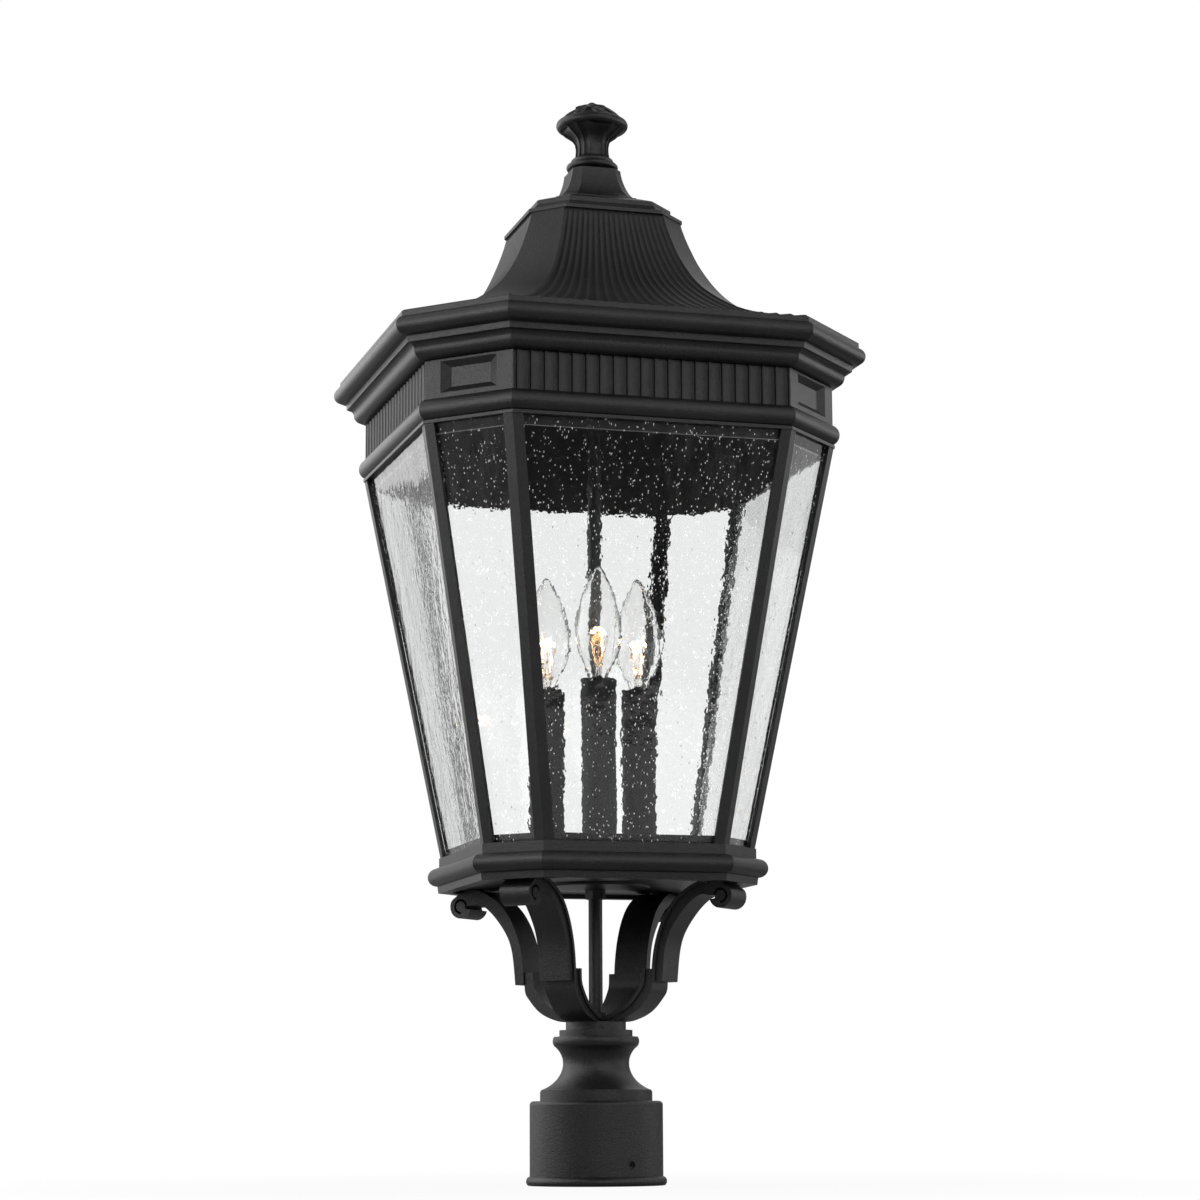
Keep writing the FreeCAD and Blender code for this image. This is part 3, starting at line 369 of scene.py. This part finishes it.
def blackened_steel(name):
    f = Finish(name, Metallic=0.85)
    oxide = f.noise(260.0, detail=4.0)
    f.feed("Base Color", f.blend(oxide.above(0.5, 0.2), (0.03, 0.03, 0.032), (0.09, 0.085, 0.08)))
    f.feed("Roughness", 0.32 + oxide * 0.22)
    f.bump(oxide, 0.06 * MM, strength=0.5)
    return f.material


# %% Put the finishes on the CAD nodes
finishes = {
    "seeded_glass": glass,
    "clear_glass": bulb_clear("bulb glass"),
    "nickel_shell": plated_shell("plated lamp cap"),
    "filament_wire": support_wire("support wire"),
    "black_sleeve": sleeve_card("black candle sleeve"),
    "black_phenolic": moulded_holder("moulded lamp holder"),
    "brass": turned_brass("turned brass"),
    "black_rubber": matt_rubber("rubber washer"),
    "black_steel": blackened_steel("blackened steel"),
    "black_powder_coat": coat,
}
for part in frame["record"]["subparts"]:
    mesh = nodes[part["node"]].data
    mesh.materials.clear()
    mesh.materials.append(finishes[part["material_slot"]])
print(len(finishes), "finishes on", len(nodes), "CAD nodes")


# %% [markdown]
# ## Inside the lamps
#
# In a clear candle lamp a flared glass stem carries two lead wires, and a
# coiled filament hangs between them in an arch. CAD keeps the whole mount as
# one plain rod with a hoop, so it is replaced here. The stem and the leads
# are drawn up ring by ring, as a glass worker pulls them: a disc is extruded,
# moved and resized again and again.

# %% Starting and joining pieces
def select_only(*pieces):
    """Select these pieces and nothing else, with the first one active."""
    bpy.ops.object.select_all(action="DESELECT")
    for piece in pieces:
        piece.select_set(True)
    if pieces:
        bpy.context.view_layer.objects.active = pieces[0]


def fresh(add, name, **settings):
    """A new primitive with nothing else selected."""
    select_only()
    add(**settings)
    piece = bpy.context.object
    piece.name = piece.data.name = name
    return piece


def joined(pieces, name):
    """Several pieces made into one."""
    select_only(*pieces)
    bpy.ops.object.join()
    whole = bpy.context.object
    whole.name = whole.data.name = name
    return whole


# %% Drawing a form up ring by ring
def drawn_up(name, rings, sides):
    """A closed form through rings of (x, y, z, radius across x, radius across y)."""
    x, y, z, rx, ry = rings[0]
    piece = fresh(bpy.ops.mesh.primitive_circle_add, name, vertices=sides, radius=1.0,
                  fill_type="NGON", location=(x, y, z))
    bpy.ops.object.transform_apply(location=True, rotation=False, scale=False)
    bpy.ops.object.mode_set(mode="EDIT")
    bpy.ops.mesh.select_all(action="SELECT")
    bpy.ops.transform.resize(value=(rx, ry, 1.0), center_override=(x, y, z))
    for next_x, next_y, next_z, next_rx, next_ry in rings[1:]:
        bpy.ops.mesh.extrude_region_move(
            TRANSFORM_OT_translate={"value": (next_x - x, next_y - y, next_z - z)})
        bpy.ops.transform.resize(value=(next_rx / rx, next_ry / ry, 1.0),
                                 center_override=(next_x, next_y, next_z))
        x, y, z, rx, ry = next_x, next_y, next_z, next_rx, next_ry
    bpy.ops.mesh.select_all(action="SELECT")
    bpy.ops.mesh.normals_make_consistent(inside=False)
    bpy.ops.object.mode_set(mode="OBJECT")
    return piece


# %% Finishing and mounting a piece
SMOOTH_BELOW = math.radians(60.0)


def dress(piece, body, material):
    """Apply what is pending, smooth, colour and mount a finished piece."""
    select_only(piece)
    bpy.ops.object.transform_apply(location=True, rotation=True, scale=True)
    for modifier in list(piece.modifiers):
        bpy.ops.object.modifier_apply(modifier=modifier.name)
    bpy.ops.object.shade_smooth_by_angle(angle=SMOOTH_BELOW)
    piece.data.materials.clear()
    piece.data.materials.append(material)
    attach(piece, body)
    return piece


# %% Stem of a lamp
# (height, radius) in millimetres; above PINCH_FROM the stem is pressed flat
STEM_RINGS = ((0.0, 3.9), (1.6, 3.8), (3.4, 2.5), (6.5, 1.9), (9.5, 2.0), (11.6, 2.6), (13.2, 2.2))
PINCH_FROM, PINCH = 7.0, 0.55
STEM_SIDES = 20
stem_clear = stem_glass("lamp stem glass")


def lamp_stem(number, x, y, foot):
    rings = [(x, y, foot + z * MM, r * MM, (r if z < PINCH_FROM else r * PINCH) * MM)
             for z, r in STEM_RINGS]
    piece = drawn_up("lamp_stem_%d" % number, rings, STEM_SIDES)
    round_off = piece.modifiers.new("round", "SUBSURF")
    round_off.levels = round_off.render_levels = 1
    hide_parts("bulb_filament_%d" % number)
    return dress(piece, "lantern", stem_clear)


# %% Leads of a lamp
# (sideways, height) in millimetres along a lead that splays from the stem to
# the coil's end, and along the hook that holds the top of its arch
SPLAYED_LEAD = ((1.3, 9.0), (1.5, 13.0), (2.6, 18.0), (4.6, 24.0), (5.7, 29.5), (5.5, 31.0))
HOOK = ((0.0, 10.0), (0.2, 16.0), (0.4, 24.0), (0.2, 31.0), (0.0, 35.6))
LEAD_R, WIRE_SIDES = 0.32 * MM, 8
lead_metal = finishes["filament_wire"]


def lamp_leads(number, x, y, foot):
    """Two leads, one the other's mirror image, and the hook between them."""
    mirrored = [(-across, up) for across, up in SPLAYED_LEAD]
    leads = []
    for letter, route in zip("abc", (mirrored, SPLAYED_LEAD, HOOK)):
        rings = [(x + across * MM, y, foot + up * MM, LEAD_R, LEAD_R) for across, up in route]
        leads.append(drawn_up("lamp_lead_%d%s" % (number, letter), rings, WIRE_SIDES))
    return dress(joined(leads, "lamp_leads_%d" % number), "lantern", lead_metal)


# %% Filament of a lamp
COIL_TURNS, COIL_PITCH, COIL_R, COIL_WIRE = 14, 0.86 * MM, 0.95 * MM, 0.30 * MM
STEPS_A_TURN = 12
ARCH_BEND, ARCH_TOP = math.radians(150.0), 35.0 * MM
WELD = 0.001 * MM
hot = glowing_wire("glowing filament")


def lamp_filament(number, x, y, foot):
    """A ring swept into a coil by a screw, then bent into an arch."""
    piece = fresh(bpy.ops.mesh.primitive_circle_add, "lamp_filament_%d" % number,
                  vertices=WIRE_SIDES, radius=COIL_WIRE, fill_type="NOTHING",
                  location=(COIL_R, 0.0, 0.0), rotation=(math.pi / 2, 0.0, 0.0))
    bpy.ops.object.transform_apply(location=True, rotation=True, scale=True)
    sweep = piece.modifiers.new("coil", "SCREW")
    sweep.screw_offset, sweep.iterations = COIL_PITCH, COIL_TURNS
    sweep.steps = sweep.render_steps = STEPS_A_TURN
    bpy.ops.object.modifier_apply(modifier="coil")
    length = COIL_TURNS * COIL_PITCH
    bpy.ops.object.mode_set(mode="EDIT")
    bpy.ops.mesh.select_all(action="SELECT")
    bpy.ops.transform.translate(value=(0.0, 0.0, -length / 2))
    bpy.ops.mesh.remove_doubles(threshold=WELD)
    bpy.ops.mesh.select_all(action="DESELECT")
    bpy.ops.mesh.select_non_manifold()
    bpy.ops.mesh.edge_face_add()
    bpy.ops.mesh.select_all(action="SELECT")
    bpy.ops.mesh.normals_make_consistent(inside=False)
    bpy.ops.object.mode_set(mode="OBJECT")
    radius = length / ARCH_BEND
    for vertex in piece.data.vertices:
        angle = vertex.co.z / radius
        out = radius + vertex.co.x
        vertex.co = (out * math.sin(angle), vertex.co.y, out * math.cos(angle))
    piece.location = (x, y, foot + ARCH_TOP - radius)
    return dress(piece, "lantern", hot)


# %% The three lamps
def centre_of(node):
    low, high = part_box(node)
    return (low + high) / 2


for number in (1, 2, 3):
    lamp = centre_of("bulb_base_%d" % number)
    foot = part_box("bulb_base_%d" % number)[1].z
    lamp_stem(number, lamp.x, lamp.y, foot)
    lamp_leads(number, lamp.x, lamp.y, foot)
    coil = lamp_filament(number, lamp.x, lamp.y, foot)
    print("lamp", number, "filament has", len(coil.data.polygons), "faces")

# %% [markdown]
# ## Ribs on the finial
#
# The finial is a detailed casting. Thin ribs run up the ridges of its neck
# and fan out under the bead, and every leaf on its dome has a raised midrib.
# They are too fine for the CAD solid, so they are drawn up here in the same
# way as the lamp's stem, one for each bearing round the axis.

# %% Finial ribs
# (height, distance from the axis) in millimetres
NECK_LINE = ((683.4, 11.3), (686.5, 10.75), (690.0, 10.65), (693.5, 11.35), (696.5, 13.45),
             (698.0, 15.3), (699.2, 17.0), (701.5, 20.2), (702.9, 21.7))
LEAF_LINES = (((710.1, 20.5), (711.6, 19.0), (713.5, 17.0), (715.0, 15.0), (716.2, 13.0)),
              ((716.9, 13.6), (718.4, 10.9), (719.3, 8.4), (720.2, 5.4)))
NECK_RIB, LEAF_RIB, RIB_SIDES = 0.6, 0.55, 8
NECK_BEARINGS = [90.0 * quarter + ridge for quarter in range(4) for ridge in (24.0, 45.0, 66.0)]
LEAVES = 8


def ribs(name, line, bearings, thick):
    """One rib along the line at each bearing, all joined and mounted on the finial."""
    bars = []
    for degrees in bearings:
        x, y = math.cos(math.radians(degrees)), math.sin(math.radians(degrees))
        rings = [(x * out * MM, y * out * MM, up * MM, thick * MM, thick * MM)
                 for up, out in line]
        bars.append(drawn_up("%s_%d" % (name, len(bars)), rings, RIB_SIDES))
    print(name, "has", len(bars), "ribs")
    return dress(joined(bars, name), "finial_head", coat)


ribs("finial_neck_ribs", NECK_LINE, NECK_BEARINGS, NECK_RIB)
for row, line in enumerate(LEAF_LINES):
    # the second row's leaves stand between those of the first
    bearings = [360.0 * (leaf + row / 2) / LEAVES for leaf in range(LEAVES)]
    ribs("finial_leaf_ribs_%d" % row, line, bearings, LEAF_RIB)

# %% [markdown]
# ## The studio
#
# A black object is seen by what it mirrors. So the world is a dim room with
# soft white panels standing round the lantern, and each panel is written as
# a place in the sky: its bearing, its height, and how far it reaches each
# way. Bearings run from 0 at the front to the right. Plain white stands
# behind whatever the camera sees directly or straight through glass, but a
# ray that has bounced off something sees the dim room.

# %% World
ROOM, SOFT_EDGE = 0.07, 0.35
# bearing, height, half width and half height in degrees, then strength
PANELS = (
    (-118.0, 12.0, 36.0, 26.0, 1.7),
    (-120.0, 48.0, 36.0, 16.0, 0.75),
    (180.0, 15.0, 30.0, 30.0, 0.35),
    (130.0, 38.0, 30.0, 25.0, 0.4),
    (75.0, 2.0, 35.0, 9.0, 1.3),
    (45.0, 45.0, 30.0, 18.0, 0.85),
    (45.0, -14.0, 22.0, 12.0, 0.9),
    (5.0, 18.0, 34.0, 10.0, 1.7),
)
world = bpy.data.worlds.new("studio of panels")
bpy.context.scene.world = world
sky = Nodes(world)
look = sky.node("ShaderNodeTexCoord").outputs["Generated"]
axes = sky.node("ShaderNodeSeparateXYZ", Vector=look).outputs
east, north, up = (sky.val(axes[letter]) for letter in "XYZ")
bearing = east.math("ARCTAN2", north * -1.0) * math.degrees(1.0)
height = up.math("ARCSINE") * math.degrees(1.0)


def panel(towards, lift, half_wide, half_high, strength):
    """A soft-edged patch of light in the sky."""
    aside = (bearing - towards).math("WRAP", 180.0, -180.0).math("ABSOLUTE")
    above = (height - lift).math("ABSOLUTE")
    inside_width = 1.0 - aside.above(half_wide, half_wide * SOFT_EDGE)
    inside_height = 1.0 - above.above(half_high, half_high * SOFT_EDGE)
    return inside_width * inside_height * strength


light = sum((panel(*entry) for entry in PANELS), ROOM)
room = sky.node("ShaderNodeBackground", Color=WHITE, Strength=light)
backdrop = sky.node("ShaderNodeBackground", Color=WHITE, Strength=1.0)
rays = sky.node("ShaderNodeLightPath").outputs
bounced = sky.val(rays["Glossy Depth"]) + sky.val(rays["Diffuse Depth"])
straight = sky.val(rays["Is Transmission Ray"]) * bounced.math("LESS_THAN", 0.5)
seen = sky.val(rays["Is Camera Ray"]).math("MAXIMUM", straight)
sky.node("ShaderNodeOutputWorld", Surface=sky.mix(seen, room, backdrop).outputs[0])
print(len(PANELS), "panels in the sky")

# %% [markdown]
# ## Strip lights
#
# The upper part of the lantern stands nearer to the studio's strip lights
# than the foot does, and it is brighter there. A panel in the sky is equally
# far from everything, so real lamps close to the roof have to do this.

# %% Strip lights
CROWN = (0.0, 0.0, 0.54)
STRIP_WIDTH, STRIP_HEIGHT = 0.5, 0.3
# name, place in metres and radiance
STRIPS = (
    ("left strip", (-0.93, -0.38, 0.66), 5.0),
    ("back strip", (-0.35, 0.8, 0.7), 1.2),
    ("right strip", (0.9, 0.05, 0.66), 1.5),
)


def strip(name, location, radiance):
    """A lamp that faces the crown, its power worked out from its size and radiance."""
    data = bpy.data.lights.new(name, "AREA")
    data.shape, data.size, data.size_y = "RECTANGLE", STRIP_WIDTH, STRIP_HEIGHT
    data.energy = math.pi * STRIP_WIDTH * STRIP_HEIGHT * radiance
    obj = bpy.data.objects.new(name, data)
    bpy.context.scene.collection.objects.link(obj)
    obj.location = location
    obj.rotation_mode = "QUATERNION"
    obj.rotation_quaternion = (Vector(CROWN) - Vector(location)).to_track_quat("-Z", "Y")
    obj.visible_camera = False
    obj.visible_transmission = False
    print(name, "gives", round(data.energy, 2), "W")


for entry in STRIPS:
    strip(*entry)

# %% [markdown]
# ## Floor
#
# The floor is a plain pale disc. Near the lantern it is a matt surface that
# takes the lantern's shadow, and it fades into the white backdrop farther
# out, so that no horizon shows.

# %% Floor
FLOOR_RADIUS, FLOOR_DROP, FLOOR_GREY = 1.5, 0.4 * MM, 0.4
# how much of what the camera sees is plain white near the lantern, and where
# this grows to all of it
WHITE_NEAR, FADE_AT, FADE_SOFT = 0.94, 0.32, 0.28
floor = fresh(bpy.ops.mesh.primitive_circle_add, "studio_floor", vertices=96,
              radius=FLOOR_RADIUS, fill_type="NGON", location=(0.0, 0.0, -FLOOR_DROP))
pale = Finish("pale floor", Base_Color=(FLOOR_GREY, FLOOR_GREY, FLOOR_GREY, 1.0), Roughness=0.9,
              Specular_IOR_Level=0.0)
glow = pale.node("ShaderNodeEmission", Strength=1.0)
far = pale.node("ShaderNodeVectorMath", {"operation": "LENGTH"}, Vector=pale.where)
reach = pale.val(far.outputs["Value"]).above(FADE_AT, FADE_SOFT)
rays = pale.node("ShaderNodeLightPath").outputs
through_glass = pale.val(rays["Is Transmission Ray"])
camera_sees = pale.val(rays["Is Camera Ray"]).math("MAXIMUM", through_glass)
pale.show(pale.mix(camera_sees * (WHITE_NEAR + reach * (1.0 - WHITE_NEAR)), pale.shader, glow))
floor.data.materials.append(pale.material)

# %% [markdown]
# ## Camera
#
# The camera stands where the photograph was taken from: low, about 1.95 m
# away, a little to the left of the front, and tipped up.

# %% Camera
AZIMUTH, DISTANCE, EYE_HEIGHT = -16.124, 1.95168, 0.04461
YAW, PITCH, ROLL = -0.116, 9.744, 0.27
FOCAL_PIXELS, FRAME_PIXELS, SENSOR = 2996.3, 1200.0, 36.0
lens = bpy.data.cameras.new("camera")
lens.sensor_width = SENSOR
lens.lens = FOCAL_PIXELS / FRAME_PIXELS * SENSOR
camera = bpy.data.objects.new("camera", lens)
bpy.context.scene.collection.objects.link(camera)
bpy.context.scene.camera = camera
turn = math.radians(AZIMUTH)
camera.location = (DISTANCE * math.sin(turn), -DISTANCE * math.cos(turn), EYE_HEIGHT)
level = (Matrix.Rotation(turn + math.radians(YAW), 3, "Z")
         @ Matrix.Rotation(math.radians(90.0 + PITCH), 3, "X"))
camera.rotation_mode = "QUATERNION"
camera.rotation_quaternion = (level @ Matrix.Rotation(-math.radians(ROLL), 3, "Z")).to_quaternion()
bpy.context.scene.view_settings.view_transform = "Standard"
